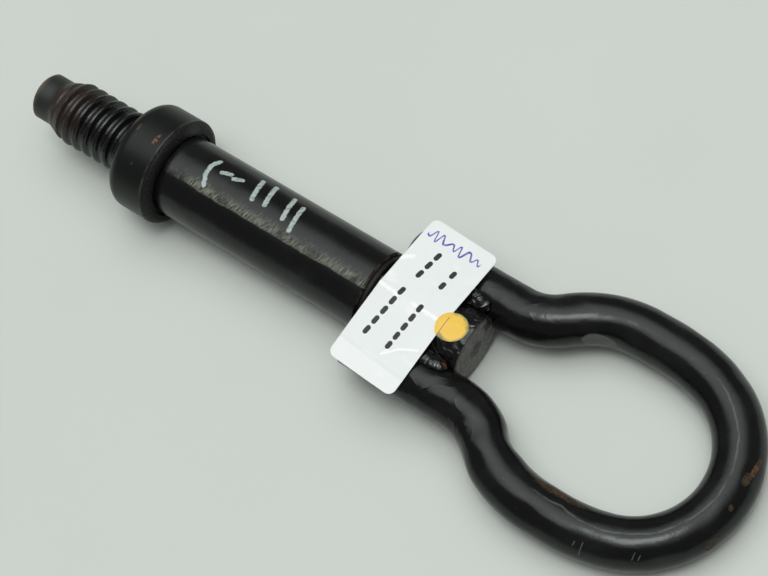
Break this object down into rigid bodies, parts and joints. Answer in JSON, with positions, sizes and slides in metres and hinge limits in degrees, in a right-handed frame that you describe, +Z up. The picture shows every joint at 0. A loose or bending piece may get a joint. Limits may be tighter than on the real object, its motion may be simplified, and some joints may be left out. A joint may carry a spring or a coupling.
{
  "type": "tow eye",
  "caption": "Screw-in car tow eye: coarse left-hand threaded stud with collar and sleeve, and a bent bar loop welded to its end, with a blank sticker and a paint dot",
  "frame": {"origin": "middle of the bounding box in plan, on the floor that the part lies on", "axes": "+X along the shank towards the loop, +Y across the loop, +Z up. The part lies as it rests, so the shank's axis dips 2.89 degrees towards the loop"},
  "size_m": [0.2495, 0.0738, 0.0348],
  "materials": {
    "stud_finish": "gloss black, worn at the thread",
    "collar_finish": "satin black",
    "sleeve_finish": "gloss black",
    "eye_finish": "gloss black, chipped",
    "weld_finish": "gloss black",
    "sticker_white": "glossy white",
    "dot_yellow": "dried paint"
  },
  "bodies": {
    "root": {"stud": "stud_finish", "collar": "collar_finish", "sleeve": "sleeve_finish", "eye": "eye_finish", "sleeve_weld": "weld_finish", "weld_left_top": "weld_finish", "weld_right_top": "weld_finish", "weld_left_under": "weld_finish", "weld_right_under": "weld_finish", "sticker": "sticker_white", "paint_dot": "dot_yellow"}
  },
  "joints": []
}
